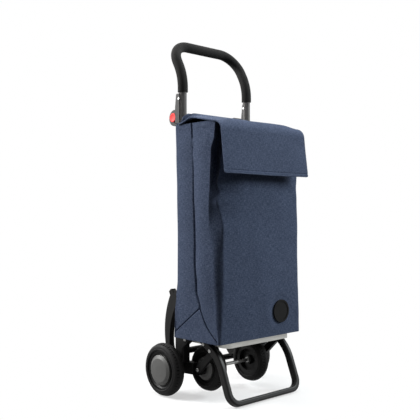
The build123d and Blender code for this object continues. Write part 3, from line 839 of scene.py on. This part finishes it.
def makeLoop(name, x, shape):
    radius = shape["barR"] + shape["barGap"] + shape["thick"] / 2
    sewn = shape["bagY"] + shape["bagGap"]
    path = []
    for step in range(shape["arcSteps"] + 1):
        angle = math.radians(shape["arcFrom"] - step * shape["arcTurn"] / shape["arcSteps"])
        path.append(Vector((shape["barY"] + radius * math.cos(angle), shape["barZ"] + radius * math.sin(angle))))
    for layers, drop in shape["tab"]:
        path.append(Vector((sewn + layers * shape["thick"], shape["barZ"] - radius - drop)))

    def place(u, v):
        spot = v * (len(path) - 1)
        index = min(int(spot), len(path) - 2)
        middle = path[index].lerp(path[index + 1], spot - index)
        return (x + (u - 0.5) * shape["width"], middle.x, middle.y)

    def cloth(u, v):
        return (u * shape["width"], v * shape["cut"])

    loop = layGrid(name, shape["columns"], shape["rows"], place, cloth)
    weld(loop)
    turnOut(loop)
    thicken(loop, shape["thick"], 0.0)
    smoothFaces(loop, shape["smoothAngle"])
    return loop


for index, x in enumerate(loopShape["xs"]):
    loop = makeLoop(f"bagLoop{index + 1}", x, loopShape)
    dress(loop, finishes["webbing"])
    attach(loop, "frame")
    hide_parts("bag_loops")
print("loops made")

# release buttons, standing proud of the hinge plates
buttonLow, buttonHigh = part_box("right_release_button")
buttonShape = dict(
    radius=0.0133, foot=buttonLow.x, face=buttonHigh.x, proud=0.0048,
    hingeY=hinges["handle_fold"][1], hingeZ=hinges["handle_fold"][2],
    edge=0.0016, edgeSteps=4, edgeAngle=60, insets=(2.2, 1.5), dish=0.0007, facing=0.9, sides=64,
    smoothAngle=40,
)


def makeButton(name, sign, shape):
    deselectAll()
    face = shape["face"] + shape["proud"]
    depth = face - shape["foot"]
    middle = sign * (face + shape["foot"]) / 2
    bpy.ops.mesh.primitive_cylinder_add(vertices=shape["sides"], radius=shape["radius"], depth=depth,
                                        location=(middle, shape["hingeY"], shape["hingeZ"]),
                                        rotation=(0, sign * math.pi / 2, 0))
    button = bpy.context.object
    button.name = name
    bpy.ops.object.transform_apply(location=True, rotation=True, scale=True)
    # a shallow dish in the face, then a rounded rim
    selectWhere(button, "FACE", lambda side: side.normal.x * sign > shape["facing"])
    for inset in shape["insets"]:
        bpy.ops.mesh.inset(thickness=shape["edge"] * inset)
    bpy.ops.transform.translate(value=(-sign * shape["dish"], 0, 0))
    bpy.ops.object.mode_set(mode="OBJECT")
    rim = button.modifiers.new("rim", "BEVEL")
    rim.width = shape["edge"]
    rim.segments = shape["edgeSteps"]
    rim.angle_limit = math.radians(shape["edgeAngle"])
    bpy.ops.object.modifier_apply(modifier=rim.name)
    smoothFaces(button, shape["smoothAngle"])
    return button


for side, sign in (("left", -1), ("right", 1)):
    button = makeButton(f"{side}RedButton", sign, buttonShape)
    dress(button, finishes["red"])
    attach(button, f"{side}_button")
    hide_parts(f"{side}_release_button")
print("buttons made")

# floor, light and camera
studio = dict(
    floorSize=40, floorTone=0.33, floorRough=0.8, floorShine=0.05, floorGlow=0.56, floorBounce=0.12,
    whiteFrom=0.22, whiteTo=0.38, worldLight=0.04,
)
lamps = [
    dict(name="leftBox", place=(-1.42, 1.82, 1.75), target=(0, 0, 0.6), size=1.2, power=146, tint=(1, 1, 1)),
    dict(name="rightBox", place=(2.40, -1.90, 2.10), target=(0, 0, 0.7), size=1.5, power=182,
         tint=(0.93, 0.98, 1)),
    dict(name="topBox", place=(0, 0, 2.4), target=(0, 0, 0.4), size=1.6, power=48, tint=(1, 1, 1)),
]
cameraLook = dict(sensor=36, lens=58.5, place=(-1.440, -1.456, 0.530), forward=(0.6828, 0.7306, 0.0044))


# 1 for the rays that look at the background, directly or in metal and glass
def seenRay(nodes, links):
    path = nodes.new("ShaderNodeLightPath")
    seen = path.outputs["Is Camera Ray"]
    for other in ("Is Glossy Ray", "Is Transmission Ray"):
        most = nodes.new("ShaderNodeMath")
        most.operation = "MAXIMUM"
        links.new(seen, most.inputs[0])
        links.new(path.outputs[other], most.inputs[1])
        seen = most.outputs["Value"]
    return seen


# how white the floor is at each place: 0 near the trolley, 1 further out
def whiteShare(finish, look):
    length = finish.nodes.new("ShaderNodeVectorMath")
    length.operation = "LENGTH"
    finish.join(finish.coords.outputs["Object"], length.inputs[0])
    fade = finish.nodes.new("ShaderNodeMapRange")
    fade.interpolation_type = "SMOOTHSTEP"
    fade.inputs["From Min"].default_value = look["whiteFrom"]
    fade.inputs["From Max"].default_value = look["whiteTo"]
    finish.join(length.outputs["Value"], fade.inputs["Value"])
    return fade.outputs["Result"]


# the floor takes the shadow near the trolley and fades to plain white further out; its bounced light is weaker
def makeFloor(look):
    deselectAll()
    bpy.ops.mesh.primitive_plane_add(size=look["floorSize"], location=(0, 0, 0))
    floor = bpy.context.object
    floor.name = "studioFloor"
    finish = Finish("paleFloor")
    finish.put(Roughness=look["floorRough"], Specular_IOR_Level=look["floorShine"])
    finish.put(Base_Color=(look["floorTone"], look["floorTone"], look["floorTone"], 1))
    seen = seenRay(finish.nodes, finish.links)
    glow = finish.nodes.new("ShaderNodeEmission")
    finish.join(finish.math("MULTIPLY", seen, look["floorGlow"]), glow.inputs["Strength"])
    near = finish.nodes.new("ShaderNodeAddShader")
    finish.join(finish.shader.outputs["BSDF"], near.inputs[0])
    finish.join(glow.outputs["Emission"], near.inputs[1])
    white = finish.nodes.new("ShaderNodeEmission")
    whiteness = finish.math("MULTIPLY", whiteShare(finish, look), seen)
    shown = finish.mixShaders(whiteness, near.outputs["Shader"], white.outputs["Emission"])
    bounce = finish.nodes.new("ShaderNodeBsdfDiffuse")
    bounce.inputs["Color"].default_value = (look["floorBounce"], look["floorBounce"], look["floorBounce"], 1)
    whole = finish.mixShaders(seen, bounce.outputs["BSDF"], shown)
    finish.join(whole, finish.nodes["Material Output"].inputs["Surface"])
    dress(floor, finish.material)


# a weak even light, with a white background for the rays that see it
def makeWorld(look):
    world = bpy.context.scene.world or bpy.data.worlds.new("studio")
    bpy.context.scene.world = world
    world.use_nodes = True
    nodes = world.node_tree.nodes
    links = world.node_tree.links
    soft = nodes["Background"]
    white = nodes.new("ShaderNodeBackground")
    for background in (soft, white):
        background.inputs["Color"].default_value = (1, 1, 1, 1)
    soft.inputs["Strength"].default_value = look["worldLight"]
    mixed = nodes.new("ShaderNodeMixShader")
    links.new(seenRay(nodes, links), mixed.inputs["Fac"])
    links.new(soft.outputs["Background"], mixed.inputs[1])
    links.new(white.outputs["Background"], mixed.inputs[2])
    links.new(mixed.outputs["Shader"], nodes["World Output"].inputs["Surface"])


def putInScene(name, data, place, forward):
    holder = bpy.data.objects.new(name, data)
    bpy.context.scene.collection.objects.link(holder)
    holder.location = place
    holder.rotation_euler = forward.to_track_quat("-Z", "Y").to_euler()
    return holder


def makeLamp(lamp):
    light = bpy.data.lights.new(lamp["name"], "AREA")
    light.size = lamp["size"]
    light.energy = lamp["power"]
    light.color = lamp["tint"]
    putInScene(lamp["name"], light, lamp["place"], Vector(lamp["target"]) - Vector(lamp["place"]))


def makeCamera(look):
    camera = bpy.data.cameras.new("photoCamera")
    camera.sensor_fit = "HORIZONTAL"
    camera.sensor_width = look["sensor"]
    camera.lens = look["lens"]
    camera.dof.use_dof = False
    return putInScene("photoCamera", camera, look["place"], Vector(look["forward"]))


makeFloor(studio)
makeWorld(studio)
for lamp in lamps:
    makeLamp(lamp)
bpy.context.scene.camera = makeCamera(cameraLook)
bpy.context.scene.view_settings.view_transform = "Standard"
print("studio made")

print("scene ready")
